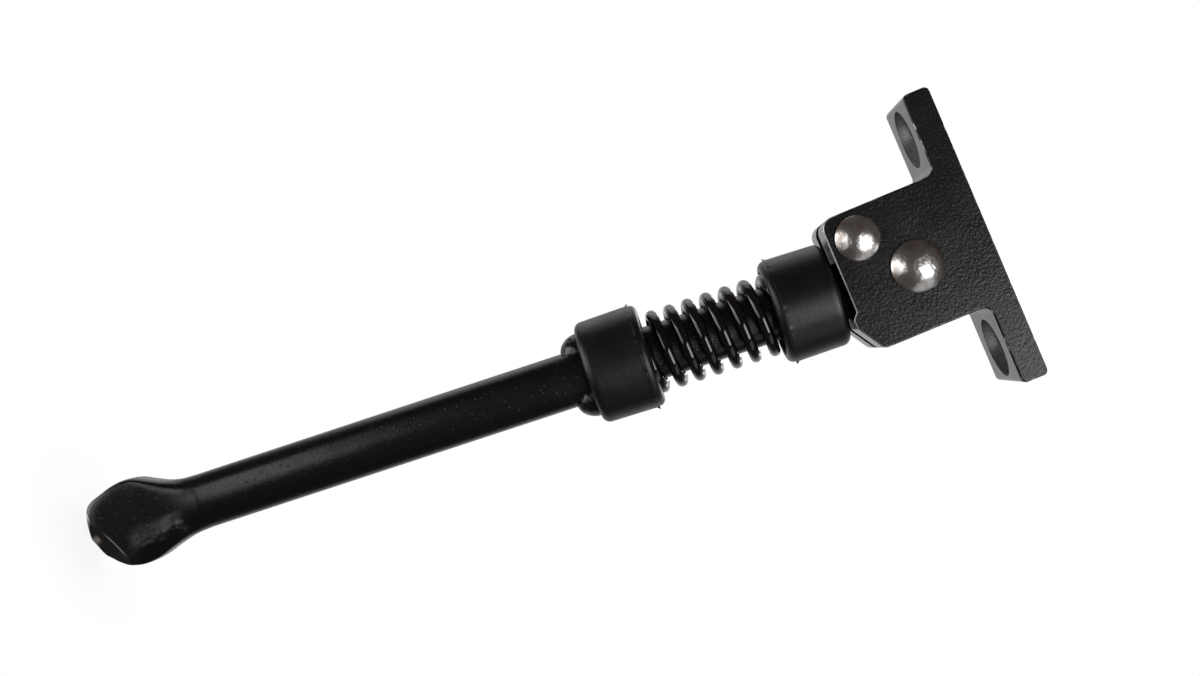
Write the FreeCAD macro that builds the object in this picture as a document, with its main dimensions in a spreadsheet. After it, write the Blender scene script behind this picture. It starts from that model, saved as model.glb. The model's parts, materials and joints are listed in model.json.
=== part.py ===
import FreeCAD, Part
import math
import os
import re
import Sketcher
from FreeCAD import Placement, Rotation, Vector

# Folding kickstand of an electric scooter, in millimetres.
# The origin is the middle of the two screw holes on the face that bolts to the deck.
# +Z points out of that face into the deck, +X to the side the leg folds to, Y along the pivot.

# Driving sizes: name, value, meaning.
SIZES = [
    ("bracket_width", 25.5, "bracket, across both ears along the pivot"),
    ("flange_length", 74.8, "flange, along the deck"),
    ("flange_thick", 6.8, "flange, from deck face to inner face"),
    ("flange_corner", 1.4, "flange, corner radius"),
    ("stem_width", 34.2, "ears, across"),
    ("stem_fillet", 2.2, "inner radius between ears and flange"),
    ("ear_drop", 17.6, "pivot to the end edge of the ears"),
    ("ear_corner", 3.2, "ears, radius of the corner beside the stop rivet"),
    ("bump_rise", 1.35, "detent bump, height over the end edge"),
    ("bump_start", 6.2, "detent bump, start beyond the pivot"),
    ("bump_length", 2.3, "detent bump, length of its top"),
    ("bump_run", 1.4, "detent bump, run of the step up to it"),
    ("bump_round", 0.6, "detent bump, edge radius"),
    ("cam_drop", 14.7, "pivot to the end of the cam bevel on the fold side"),
    ("cam_corner", 2.0, "cam bevel, corner radius"),
    ("edge_round", 0.45, "broken edge round the bracket's side faces"),
    ("screw_spacing", 56.0, "mounting screws, hole to hole"),
    ("screw_hole", 8.5, "mounting screws, through hole"),
    ("head_seat", 15.2, "mounting screws, counterbore for the head"),
    ("seat_depth", 4.2, "mounting screws, depth of the counterbore"),
    ("pivot_drop", 19.0, "deck face to pivot"),
    ("pivot_offset", 1.7, "pivot, off the middle of the bracket"),
    ("pivot_shank", 8.0, "pivot rivet, shank diameter"),
    ("pivot_head", 12.8, "pivot rivet, head diameter"),
    ("pivot_dome", 3.6, "pivot rivet, head height"),
    ("stop_shank", 7.0, "stop rivet, shank diameter"),
    ("stop_head", 11.0, "stop rivet, head diameter"),
    ("stop_dome", 3.1, "stop rivet, head height"),
    ("stop_reach", 11.4, "pivot to stop rivet, along the leg"),
    ("head_rim", 0.7, "rivets, straight rim under the dome"),
    ("rivet_fit", 0.05, "rivets, radial clearance in their holes"),
    ("rod", 14.0, "leg, rod diameter"),
    ("leg_length", 218.0, "leg, pivot to foot tip"),
    ("leg_tilt", 4.3, "leg at rest, degrees past square to the deck"),
    ("tongue", 5.0, "leg, thickness of the milled tongue"),
    ("tongue_fit", 0.1, "tongue, clearance to each ear"),
    ("tongue_end_fit", 1.5, "tongue, clearance over its rounded end"),
    ("shoulder_fit", 0.6, "tongue, clearance of its shoulder to the swinging ears"),
    ("stop_fit", 0.3, "stop rivet, clearance to the tongue at rest"),
    ("foot_length", 31.0, "foot, length of the flattened end"),
    ("foot_width", 22.2, "foot, greatest width"),
    ("foot_thick", 8.4, "foot, thickness of the flattened end"),
    ("foot_offset", 0.7, "foot, its bulge away from the fold side"),
    ("lug_reach", 10.8, "staked lugs, leg axis to their tips"),
    ("lug_run", 4.4, "staked lugs, length along the leg"),
    ("lug_thick", 9.0, "staked lugs, thickness"),
    ("lug_round", 1.2, "staked lugs, edge radius"),
    ("cup", 26.7, "spring cups, diameter at the mouth"),
    ("cup_end", 26.2, "spring cups, diameter at the closed end"),
    ("cup_length", 16.4, "spring cups, length"),
    ("cup_floor", 7.0, "spring cups, thickness of the closed end"),
    ("cup_round", 2.0, "spring cups, radius at the closed end"),
    ("lip_length", 1.8, "spring cups, length of the tapered lip"),
    ("lip_width", 1.0, "spring cups, flat ring at the mouth"),
    ("cup_fit", 0.2, "spring cups, radial clearance on the rod"),
    ("cam_fit", 0.4, "upper cup, clearance to the ears at rest"),
    ("coil", 20.8, "spring, outer diameter"),
    ("wire", 2.8, "spring, wire diameter"),
    ("coil_fit", 0.4, "spring, radial clearance in the cups"),
    ("coil_turns", 10.0, "spring, turns"),
    ("coil_gap", 32.0, "spring, stretch that shows between the cups"),
    ("seat_fit", 0.05, "axial clearance of pieces that press on one another"),
]

# Foot outline: share of the foot's length, share of the way from rod width to full width,
# and share of the way from rod thickness to foot thickness.
FOOT_STATIONS = [
    (0.00, 0.00, 0.00),
    (0.05, 0.00, 0.01),
    (0.20, 0.05, 0.18),
    (0.36, 0.30, 0.60),
    (0.50, 0.82, 0.90),
    (0.63, 1.00, 1.00),
    (0.77, 0.86, 1.05),
    (0.90, 0.28, 1.30),
    (0.97, -0.50, 1.70),
    (1.00, -1.10, 2.05),
]

NAMES = {name for name, number, meaning in SIZES}

# How near an edge has to lie to the place where it is looked for.
NEAR = 1e-3

doc = FreeCAD.newDocument("kickstand")
sheet = doc.addObject("Spreadsheet::Sheet", "sizes")
for row, (name, number, meaning) in enumerate(SIZES, 1):
    sheet.set(f"A{row}", meaning)
    sheet.set(f"B{row}", str(number))
    sheet.setAlias(f"B{row}", name)
doc.recompute()


def size(text):
    """Expression text with each size's name spelled as a cell of the sheet."""
    return re.sub(r"[a-z_]+", lambda word: f"sizes.{word[0]}" if word[0] in NAMES else word[0], text)


def value(text):
    """Number that an expression has now."""
    return float(sheet.evalExpression(size(text)))


# Sizes that follow from others.
PIVOT_X = "pivot_offset"
PIVOT_Z = "-1 * pivot_drop"
TILT = "( leg_tilt * 1deg )"
ROD_R = "( rod / 2 )"
HALF_STEM = "( stem_width / 2 )"
EAR_END = "( pivot_drop + ear_drop )"
BUMP_END = f"( {EAR_END} + bump_rise )"
SLOT = "( tongue + 2 * tongue_fit )"
SLOT_TOP = f"( {ROD_R} + tongue_end_fit - pivot_drop )"
CAM_REACH = f"max( sqrt( ( {HALF_STEM} - pivot_offset ) ^ 2 + cam_drop ^ 2 ) ; " \
            "sqrt( ( bump_start + bump_length ) ^ 2 + ( ear_drop + bump_rise ) ^ 2 ) )"
TONGUE_LENGTH = f"( {CAM_REACH} + shoulder_fit )"
STOP_SIDE = f"( {ROD_R} + stop_shank / 2 + stop_fit )"
STOP_X = f"( pivot_offset - {STOP_SIDE} * cos( {TILT} ) - stop_reach * sin( {TILT} ) )"
STOP_Z = f"( {STOP_SIDE} * sin( {TILT} ) - pivot_drop - stop_reach * cos( {TILT} ) )"
CUP_R = "( cup / 2 )"
EDGE_TOUCH = f"( ear_drop * cos( {TILT} ) + ( {CUP_R} + ear_drop * sin( {TILT} ) ) * tan( {TILT} ) )"
BUMP_TOUCH = f"( ( ear_drop + bump_rise ) * cos( {TILT} ) - bump_start * sin( {TILT} ) )"
UPPER_FACE = f"( max( {EDGE_TOUCH} ; {BUMP_TOUCH} ) + cam_fit )"
UPPER_MOUTH = f"( {UPPER_FACE} + cup_length )"
LOWER_MOUTH = f"( {UPPER_MOUTH} + coil_gap )"
LOWER_FACE = f"( {LOWER_MOUTH} + cup_length )"
LUG_TOP = f"( {LOWER_FACE} + seat_fit )"
BORE_R = f"( {ROD_R} + cup_fit )"
RECESS_R = "( coil / 2 + coil_fit )"
SPRING_START = f"( {LOWER_FACE} - cup_floor - seat_fit )"
SPRING_LENGTH = "( coil_gap + 2 * cup_length - 2 * cup_floor - 2 * seat_fit )"
FOOT_START = "( leg_length - foot_length )"


def bind(thing, prop, text):
    """Ties a property to an expression of the sheet's sizes."""
    thing.setExpression(prop, size(text))


def origin_plane(body, role):
    return next(item for item in body.Origin.OriginFeatures if item.Role == role)


def new_sketch(body, name, role, height="0"):
    """Empty sketch on one of the body's origin planes, raised along the plane's normal."""
    sketch = body.newObject("Sketcher::SketchObject", name)
    sketch.AttachmentSupport = [(origin_plane(body, role), "")]
    sketch.MapMode = "FlatFace"
    if height != "0":
        bind(sketch, "AttachmentOffset.Base.z", height)
    return sketch


def pin_point(sketch, geometry, point, label, x_text, y_text):
    """Fixes a sketch point at two expressions."""
    for axis, text in (("X", x_text), ("Y", y_text)):
        index = sketch.addConstraint(
            Sketcher.Constraint("Distance" + axis, geometry, point, value(text)))
        sketch.renameConstraint(index, f"{label}_{axis.lower()}")
        bind(sketch, f"Constraints.{label}_{axis.lower()}", text)


def arc_centre(start, end, radius, bulge):
    """Centre of the arc from start to end that bulges left (+1) or right (-1) of the way there."""
    chord = end - start
    left = Vector(-chord.y, chord.x, 0).normalize()
    sink = math.sqrt(max(radius ** 2 - (chord.Length / 2) ** 2, 0.0))
    return (start + end) * 0.5 - left * (bulge * sink)


def add_outline(sketch, corners):
    """Closed outline through corners (x, y) given as expressions.

    A corner (x, y, radius, bulge) is reached by an arc instead of a straight line.
    """
    places = [Vector(value(corner[0]), value(corner[1]), 0) for corner in corners]
    count = len(corners)
    first = sketch.GeometryCount
    ends = []
    for index in range(count):
        corner = corners[(index + 1) % count]
        start, end = places[index], places[(index + 1) % count]
        if len(corner) == 2:
            sketch.addGeometry(Part.LineSegment(start, end))
            ends.append((1, 2))
            continue
        radius, bulge = value(corner[2]), corner[3]
        centre = arc_centre(start, end, radius, bulge)
        angles = [math.atan2(spot.y - centre.y, spot.x - centre.x) for spot in (start, end)]
        forward = bulge < 0
        if not forward:
            angles.reverse()
        sketch.addGeometry(Part.ArcOfCircle(Part.Circle(centre, Vector(0, 0, 1), radius), *angles))
        ends.append((1, 2) if forward else (2, 1))
    for index in range(count):
        follower = (index + 1) % count
        sketch.addConstraint(Sketcher.Constraint(
            "Coincident", first + index, ends[index][1], first + follower, ends[follower][0]))
    for index, corner in enumerate(corners):
        pin_point(sketch, first + index, ends[index][0], f"c{first + index}", corner[0], corner[1])
        if len(corner) == 4:
            arc = first + (index - 1) % count
            number = sketch.addConstraint(Sketcher.Constraint("Radius", arc, value(corner[2])))
            sketch.renameConstraint(number, f"r{arc}")
            bind(sketch, f"Constraints.r{arc}", corner[2])


def add_circle(sketch, x_text, y_text, diameter):
    """Circle at two expressions, with its diameter."""
    centre = Vector(value(x_text), value(y_text), 0)
    index = sketch.addGeometry(Part.Circle(centre, Vector(0, 0, 1), value(diameter) / 2))
    pin_point(sketch, index, 3, f"m{index}", x_text, y_text)
    number = sketch.addConstraint(Sketcher.Constraint("Diameter", index, value(diameter)))
    sketch.renameConstraint(number, f"d{index}")
    bind(sketch, f"Constraints.d{index}", diameter)


def pad(body, sketch, name, length, side="Symmetric", reversed_way=False):
    """Adds the sketch's outline as material."""
    feature = body.newObject("PartDesign::Pad", name)
    feature.Profile = sketch
    feature.SideType = side
    feature.Reversed = reversed_way
    bind(feature, "Length", length)
    doc.recompute()
    return feature


def pocket(body, sketch, name, length, side="Symmetric", reversed_way=False):
    """Cuts the sketch's outline away, and stops if nothing was cut."""
    before = body.Shape.Volume
    feature = body.newObject("PartDesign::Pocket", name)
    feature.Profile = sketch
    feature.SideType = side
    feature.Reversed = reversed_way
    bind(feature, "Length", length)
    doc.recompute()
    if not body.Shape.Volume < before:
        raise RuntimeError(f"{name} cuts nothing")
    return feature


def revolve(body, sketch, name, axis):
    """Turns the sketch's outline round one of its own axes."""
    feature = body.newObject("PartDesign::Revolution", name)
    feature.Profile = sketch
    feature.ReferenceAxis = (sketch, [axis])
    feature.Angle = 360
    doc.recompute()
    return feature


def fillet(body, name, radius, wanted):
    """Rounds the edges of the body for which wanted(edge) is true."""
    base = body.Tip
    names = [f"Edge{i}" for i, edge in enumerate(base.Shape.Edges, 1) if wanted(edge)]
    if not names:
        raise RuntimeError(f"{name} finds no edge")
    feature = body.newObject("PartDesign::Fillet", name)
    feature.Base = (base, names)
    bind(feature, "Radius", radius)
    doc.recompute()
    return feature


def middle(edge):
    return edge.valueAt((edge.FirstParameter + edge.LastParameter) / 2)


def on_side_face(edge, width):
    """Whether an edge lies in one of the two side faces of a piece as wide as this along Y."""
    return edge.BoundBox.YLength < NEAR and abs(abs(middle(edge).y) - value(width) / 2) < NEAR


def corner_at(x_text, z_text):
    """Test for the edges along Y that stand at one corner of an outline."""
    x_at, z_at = value(x_text), value(z_text)

    def test(edge):
        box = edge.BoundBox
        thin = box.XLength < NEAR and box.ZLength < NEAR
        return thin and abs(box.XMin - x_at) < NEAR and abs(box.ZMin - z_at) < NEAR

    return test


def any_of(tests):
    return lambda edge: any(test(edge) for test in tests)


def place(thing, x_text, z_text, angle_text):
    """Stands a piece at (x, 0, z), turned about Y."""
    turn = value(angle_text)
    thing.Placement = Placement(Vector(value(x_text), 0, value(z_text)), Rotation(Vector(0, 1, 0), turn))
    bind(thing, "Placement.Base.x", x_text)
    bind(thing, "Placement.Base.z", z_text)
    bind(thing, "Placement.Rotation.Angle", f"( {angle_text} ) * 1deg")


def place_on_leg(thing, reach, flip=False):
    """Stands a piece on the leg's axis at a distance from the pivot, turned end for end if asked."""
    place(
        thing,
        f"pivot_offset - {reach} * sin( {TILT} )",
        f"-1 * pivot_drop - {reach} * cos( {TILT} )",
        "leg_tilt + 180" if flip else "leg_tilt",
    )


def make_bracket():
    """T block with two ears: milled slot, screw holes with counterbores, rivet holes."""
    body = doc.addObject("PartDesign::Body", "bracket")
    ear_left = (f"-1 * {HALF_STEM}", f"-1 * {EAR_END}")
    cam_side = (HALF_STEM, "-1 * ( pivot_drop + cam_drop )")
    bump_tail = ("pivot_offset + bump_start + bump_length", f"-1 * {BUMP_END}")
    bump_head = ("pivot_offset + bump_start", f"-1 * {BUMP_END}")
    bump_foot = ("pivot_offset + bump_start - bump_run", f"-1 * {EAR_END}")
    flange = [
        ("-1 * flange_length / 2", "0"),
        ("flange_length / 2", "0"),
        ("flange_length / 2", "-1 * flange_thick"),
        ("-1 * flange_length / 2", "-1 * flange_thick"),
    ]
    armpits = [(HALF_STEM, "-1 * flange_thick"), (f"-1 * {HALF_STEM}", "-1 * flange_thick")]
    profile = new_sketch(body, "bracket_profile", "XZ_Plane")
    add_outline(profile, [
        flange[0], flange[1], flange[2], armpits[0], cam_side, bump_tail, bump_head, bump_foot,
        ear_left, armpits[1], flange[3],
    ])
    pad(body, profile, "bracket_block", "bracket_width")

    fillet(body, "flange_corners", "flange_corner", any_of([corner_at(*spot) for spot in flange]))
    fillet(body, "armpit_radii", "stem_fillet", any_of([corner_at(*spot) for spot in armpits]))
    fillet(body, "ear_corner_radius", "ear_corner", corner_at(*ear_left))
    fillet(body, "cam_corner_radius", "cam_corner", corner_at(*cam_side))
    bump = [corner_at(*spot) for spot in (bump_tail, bump_head, bump_foot)]
    fillet(body, "bump_radii", "bump_round", any_of(bump))

    fillet(body, "broken_edges", "edge_round", lambda edge: on_side_face(edge, "bracket_width"))

    slot = new_sketch(body, "slot_outline", "YZ_Plane")
    low = f"-1 * ( {BUMP_END} + {SLOT} )"
    add_outline(slot, [
        (f"-1 * {SLOT} / 2", SLOT_TOP), (f"{SLOT} / 2", SLOT_TOP),
        (f"{SLOT} / 2", low), (f"-1 * {SLOT} / 2", low),
    ])
    pocket(body, slot, "slot", "2 * flange_length")

    seats = new_sketch(body, "head_seat_circles", "XY_Plane", "-1 * flange_thick")
    holes = new_sketch(body, "screw_hole_circles", "XY_Plane")
    for side in ("-1", "1"):
        add_circle(seats, f"{side} * screw_spacing / 2", "0", "head_seat")
        add_circle(holes, f"{side} * screw_spacing / 2", "0", "screw_hole")
    pocket(body, seats, "head_seats", "seat_depth", "One side", True)
    pocket(body, holes, "screw_holes", "flange_thick", "One side")

    rivets = new_sketch(body, "rivet_hole_circles", "XZ_Plane")
    add_circle(rivets, PIVOT_X, PIVOT_Z, "pivot_shank + 2 * rivet_fit")
    add_circle(rivets, STOP_X, STOP_Z, "stop_shank + 2 * rivet_fit")
    pocket(body, rivets, "rivet_holes", "2 * bracket_width")
    return body


def make_rivet(label, kind, x_text, z_text):
    """Solid rivet along Y, with a domed head seated on the outer face of each ear."""
    body = doc.addObject("PartDesign::Body", label)
    face = "bracket_width / 2"
    head_r = f"{kind}_head / 2"
    shank_r = f"{kind}_shank / 2"
    cap = f"( {kind}_dome - head_rim )"
    dome_r = f"( ( {head_r} ) ^ 2 + {cap} ^ 2 ) / ( 2 * {cap} )"
    rim = f"{face} + head_rim"
    top = f"{face} + {kind}_dome"
    profile = new_sketch(body, f"{label}_profile", "XY_Plane")
    add_outline(profile, [
        ("0", f"-1 * ( {top} )"),
        (head_r, f"-1 * ( {rim} )", dome_r, -1),
        (head_r, f"-1 * {face}"),
        (shank_r, f"-1 * {face}"),
        (shank_r, face),
        (head_r, face),
        (head_r, rim),
        ("0", top, dome_r, -1),
    ])
    revolve(body, profile, f"{label}_turned", "V_Axis")
    place(body, x_text, z_text, "0")
    return body


def make_rod():
    """Rod with the milled tongue and pivot hole at its top and the staked lugs under the lower cup."""
    body = doc.addObject("PartDesign::Body", "rod_stock")
    bar = new_sketch(body, "bar_section", "XY_Plane", ROD_R)
    add_circle(bar, "0", "0", "rod")
    pad(body, bar, "bar", f"{FOOT_START} + {ROD_R}", "One side", True)

    lugs = new_sketch(body, "lug_outline", "XZ_Plane")
    lug_end = f"-1 * ( {LUG_TOP} + lug_run )"
    lug_root = "( lug_reach - lug_run )"
    add_outline(lugs, [
        ("-1 * lug_reach", f"-1 * {LUG_TOP}", "lug_run", 1),
        ("lug_reach", f"-1 * {LUG_TOP}"),
        (lug_root, lug_end, "lug_run", 1),
        (f"-1 * {lug_root}", lug_end),
    ])
    pad(body, lugs, "lugs", "lug_thick")
    tip = value("lug_reach")
    fillet(body, "lug_edges", "lug_round", lambda edge: (
        on_side_face(edge, "lug_thick") and edge.BoundBox.ZLength > NEAR
        and max(abs(edge.BoundBox.XMin), edge.BoundBox.XMax) > tip - NEAR))

    flats = new_sketch(body, "tongue_flats", "YZ_Plane")
    for side in ("-1", "1"):
        inner, outer = f"{side} * tongue / 2", f"{side} * rod"
        add_outline(flats, [
            (inner, "rod"), (outer, "rod"),
            (outer, f"-1 * {TONGUE_LENGTH}"), (inner, f"-1 * {TONGUE_LENGTH}"),
        ])
    pocket(body, flats, "tongue_milling", "2 * rod")

    end = new_sketch(body, "tongue_end_outline", "XZ_Plane")
    add_outline(end, [
        (f"-1 * {ROD_R}", "0"),
        ("0", ROD_R, ROD_R, 1),
        (ROD_R, "0", ROD_R, 1),
        ("rod", "0"), ("rod", "rod"), ("-1 * rod", "rod"), ("-1 * rod", "0"),
    ])
    pocket(body, end, "tongue_end", "2 * rod")

    hole = new_sketch(body, "pivot_hole_circle", "XZ_Plane")
    add_circle(hole, "0", "0", "pivot_shank + 2 * rivet_fit")
    pocket(body, hole, "pivot_hole", "2 * rod")
    return body


def make_foot():
    """Flattened end of the rod: ellipses that widen and thin towards the rounded tip."""
    sections = []
    for index, (along, wide, flat) in enumerate(FOOT_STATIONS):
        section = doc.addObject("Part::Ellipse", f"foot_section_{index}")
        bind(section, "MajorRadius", f"{ROD_R} + {wide} * ( foot_width - rod ) / 2")
        bind(section, "MinorRadius", f"{ROD_R} + {flat} * ( foot_thick - rod ) / 2")
        bind(section, "Placement.Base.x", f"-1 * {max(wide, 0.0)} * foot_offset")
        bind(section, "Placement.Base.z", f"-1 * ( {FOOT_START} + {along} * foot_length )")
        sections.append(section)
    doc.recompute()
    loft = doc.addObject("Part::Loft", "foot_loft")
    loft.Sections = sections
    loft.Solid = True
    loft.Ruled = False
    doc.recompute()
    return loft


def make_leg():
    """Leg in one piece: rod, tongue, lugs and foot."""
    leg = doc.addObject("Part::MultiFuse", "leg")
    leg.Shapes = [make_rod(), make_foot()]
    doc.recompute()
    place_on_leg(leg, "0")
    return leg


def make_cup(label, reach, flip):
    """Moulded spring cup: bored floor, recess for the coil and a tapered lip at the mouth."""
    body = doc.addObject("PartDesign::Body", label)
    mouth_r = f"( {RECESS_R} + lip_width )"
    profile = new_sketch(body, f"{label}_profile", "XZ_Plane")
    add_outline(profile, [
        (BORE_R, "0"),
        ("cup_end / 2", "0"),
        (CUP_R, "lip_length - cup_length"),
        (mouth_r, "-1 * cup_length"),
        (RECESS_R, "-1 * cup_length"),
        (RECESS_R, "-1 * cup_floor"),
        (BORE_R, "-1 * cup_floor"),
    ])
    revolve(body, profile, f"{label}_turned", "V_Axis")
    rim = value("cup_end / 2")
    fillet(body, f"{label}_round", "cup_round", lambda edge: (
        abs(edge.BoundBox.ZMax) < NEAR and edge.BoundBox.ZLength < NEAR
        and edge.BoundBox.XLength > 2 * rim - NEAR))
    place_on_leg(body, reach, flip)
    return body


def make_spring():
    """Right-hand coil spring that stands in both cups."""
    path = doc.addObject("Part::Helix", "spring_path")
    rise = f"( {SPRING_LENGTH} - wire )"
    bind(path, "Height", rise)
    bind(path, "Pitch", f"{rise} / coil_turns")
    bind(path, "Radius", "( coil - wire ) / 2")
    section = doc.addObject("Part::Circle", "spring_section")
    bind(section, "Radius", "wire / 2")
    section.Placement = Placement(Vector(1, 0, 0), Rotation(Vector(1, 0, 0), 90))
    bind(section, "Placement.Base.x", "( coil - wire ) / 2")
    doc.recompute()
    spring = doc.addObject("Part::Sweep", "spring")
    spring.Sections = [section]
    spring.Spine = (path, [])
    spring.Solid = True
    spring.Frenet = True
    doc.recompute()
    place_on_leg(spring, f"( {SPRING_START} - wire / 2 )")
    return spring


nodes = [
    make_bracket(),
    make_rivet("pivot_rivet", "pivot", PIVOT_X, PIVOT_Z),
    make_rivet("stop_rivet", "stop", STOP_X, STOP_Z),
    make_leg(),
    make_cup("upper_cup", UPPER_FACE, False),
    make_cup("lower_cup", LOWER_FACE, True),
    make_spring(),
]
doc.recompute()

for item in doc.Objects:
    if {"Invalid", "Error"} & set(item.State):
        raise RuntimeError(f"{item.Label} failed: {item.State}")
for node in nodes:
    if node.Shape.isNull() or not node.Shape.isValid():
        raise RuntimeError(f"{node.Label} has no valid shape")

os.makedirs("parts", exist_ok=True)
for node in nodes:
    node.Shape.exportStep(f"parts/{node.Label}.step")
    box = node.Shape.BoundBox
    print(f"{node.Label}: {len(node.Shape.Solids)} solid, {node.Shape.Volume:.1f} mm3, "
          f"x {box.XMin:.2f} {box.XMax:.2f}, y {box.YMin:.2f} {box.YMax:.2f}, z {box.ZMin:.2f} {box.ZMax:.2f}")
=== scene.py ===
import json
import math

import bpy
import numpy as np
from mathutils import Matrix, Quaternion, Vector


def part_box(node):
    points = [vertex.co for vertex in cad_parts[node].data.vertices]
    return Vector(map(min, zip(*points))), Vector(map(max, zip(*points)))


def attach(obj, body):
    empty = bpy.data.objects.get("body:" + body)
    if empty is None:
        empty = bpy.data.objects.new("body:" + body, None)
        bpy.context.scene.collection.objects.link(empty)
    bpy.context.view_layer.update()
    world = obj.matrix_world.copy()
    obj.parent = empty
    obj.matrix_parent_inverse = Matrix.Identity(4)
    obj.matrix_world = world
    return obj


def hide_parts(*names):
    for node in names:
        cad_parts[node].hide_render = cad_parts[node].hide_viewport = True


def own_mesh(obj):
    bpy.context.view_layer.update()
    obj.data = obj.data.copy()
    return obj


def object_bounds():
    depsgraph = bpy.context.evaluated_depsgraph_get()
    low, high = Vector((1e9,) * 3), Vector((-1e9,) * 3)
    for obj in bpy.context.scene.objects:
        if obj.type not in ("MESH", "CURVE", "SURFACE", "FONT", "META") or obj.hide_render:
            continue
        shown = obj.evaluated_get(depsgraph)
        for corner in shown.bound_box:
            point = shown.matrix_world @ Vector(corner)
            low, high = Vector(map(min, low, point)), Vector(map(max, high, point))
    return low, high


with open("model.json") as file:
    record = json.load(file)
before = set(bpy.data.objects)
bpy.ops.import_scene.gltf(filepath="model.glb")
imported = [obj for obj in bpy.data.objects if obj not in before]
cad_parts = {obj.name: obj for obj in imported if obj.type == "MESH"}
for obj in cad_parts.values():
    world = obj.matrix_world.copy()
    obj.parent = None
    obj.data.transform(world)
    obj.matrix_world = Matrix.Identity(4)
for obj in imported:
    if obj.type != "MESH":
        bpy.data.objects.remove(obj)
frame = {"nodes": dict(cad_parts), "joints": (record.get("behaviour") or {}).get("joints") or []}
cad_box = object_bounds()

MM = 0.001

# Camera, fitted to the photograph: place, aim and nearest view in metres, roll in degrees, lens in mm.
CAMERA_PLACE = (-0.00275, -0.34292, -0.08184)
CAMERA_AIM = (-0.01190, 0.0, -0.09651)
CAMERA_ROLL = 67.41
CAMERA_LENS = 40.91
CAMERA_NEAREST = 0.01

# The leg's own axes: down the leg from the pivot, across it to the fold side, and along the pivot.
JOINTS = {joint["name"]: joint for joint in frame["joints"]}
PIVOT = np.array(JOINTS["leg_fold"]["pos_m"])
DOWN = np.array(JOINTS["cup_slide"]["axis"]) / np.linalg.norm(JOINTS["cup_slide"]["axis"])
SIDE = np.array([0.0, 1.0, 0.0])
ACROSS = np.cross(DOWN, SIDE)


# Surfaces

def leg_span(node):
    """Nearest and farthest reach of a CAD node down the leg from the pivot, and its radius, in mm."""
    mesh = frame["nodes"][node].data
    flat = np.empty(3 * len(mesh.vertices))
    mesh.vertices.foreach_get("co", flat)
    off = (flat.reshape(-1, 3) - PIVOT) / MM
    reach = off @ DOWN
    radius = np.linalg.norm(off - reach[:, None] * DOWN, axis=1)
    return reach.min(), reach.max(), radius.max()


def on_leg(reach, across, depth):
    """Points in metres from millimetres down the leg, across it and along the pivot axis."""
    reach, across, depth = np.broadcast_arrays(reach, across, depth)
    return PIVOT + MM * (reach[..., None] * DOWN + across[..., None] * ACROSS + depth[..., None] * SIDE)


def full_turn(steps):
    """Angles of a full turn in equal steps, without the last one, which is the first again."""
    return np.linspace(0, 2 * math.pi, steps, endpoint=False)


def smooth(low, high, x):
    """Goes from 0 at low to 1 at high along the cubic 3t^2 - 2t^3; high may be the smaller one."""
    t = np.clip((x - low) / (high - low), 0.0, 1.0)
    return t * t * (3.0 - 2.0 * t)


def bell(x, width, power=2):
    """Falls from 1 at zero to 1/e at the width; a higher power gives a flatter top."""
    return np.exp(-(x / width) ** power)


def spline(knots, heights, x):
    """Cubic Hermite curve through the knots, with each knot's slope taken from its two neighbours."""
    knots, heights = np.asarray(knots, float), np.asarray(heights, float)
    slopes = np.gradient(heights, knots)
    index = np.clip(np.searchsorted(knots, x, side="right") - 1, 0, len(knots) - 2)
    width = knots[index + 1] - knots[index]
    t = np.clip((x - knots[index]) / width, 0.0, 1.0)
    start = heights[index] * (1 + 2 * t) * (1 - t) ** 2 + slopes[index] * width * t * (1 - t) ** 2
    end = heights[index + 1] * t * t * (3 - 2 * t) - slopes[index + 1] * width * t * t * (1 - t)
    return start + end


def ripple(x, y, z, wavelength, seed, waves=24, shortest=0.7, longest=1.6):
    """Smooth uneven height of about one unit: the sum of plane waves in seeded directions.

    Their wavelengths lie between the shortest and longest shares of the one given.
    """
    draw = np.random.default_rng(seed)
    heading = draw.normal(size=(waves, 3))
    heading /= np.linalg.norm(heading, axis=1)[:, None]
    pace = 2 * math.pi / (wavelength * draw.uniform(shortest, longest, waves))
    shift = draw.uniform(0, 2 * math.pi, waves)
    total = np.zeros(np.broadcast(x, y, z).shape)
    for way, rate, start in zip(heading, pace, shift):
        total += np.sin(rate * (way[0] * x + way[1] * y + way[2] * z) + start)
    return total * math.sqrt(2.0 / waves)


def rounded(corners, steps=8):
    """Outline through corners (x, y, radius), each corner replaced by points along its tangent arc."""
    spots = np.array([corner[:2] for corner in corners], float)
    parts = []
    for here, before, after, corner in zip(spots, np.roll(spots, 1, 0), np.roll(spots, -1, 0), corners):
        back = (before - here) / np.linalg.norm(before - here)
        ahead = (after - here) / np.linalg.norm(after - here)
        half = math.acos(float(np.clip(back @ ahead, -1, 1))) / 2
        radius = corner[2]
        middle = (back + ahead) / np.linalg.norm(back + ahead)
        centre = here + middle * radius / math.sin(half)
        start = here + back * radius / math.tan(half) - centre
        end = here + ahead * radius / math.tan(half) - centre
        arc = math.pi - 2 * half
        sweep = np.linspace(0, 1, steps)[:, None] * arc
        turn = np.sin(arc - sweep) * start + np.sin(sweep) * end
        parts.append(centre + turn / math.sin(arc))
    return np.concatenate(parts)


def divide(outline, step):
    """Closed outline with extra points along its long runs, at most a step apart."""
    ahead = np.roll(outline, -1, 0)
    counts = np.maximum(np.ceil(np.linalg.norm(ahead - outline, axis=1) / step), 1).astype(int)
    runs = [
        here + np.arange(count)[:, None] / count * (there - here)
        for here, there, count in zip(outline, ahead, counts)
    ]
    return np.concatenate(runs)


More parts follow.
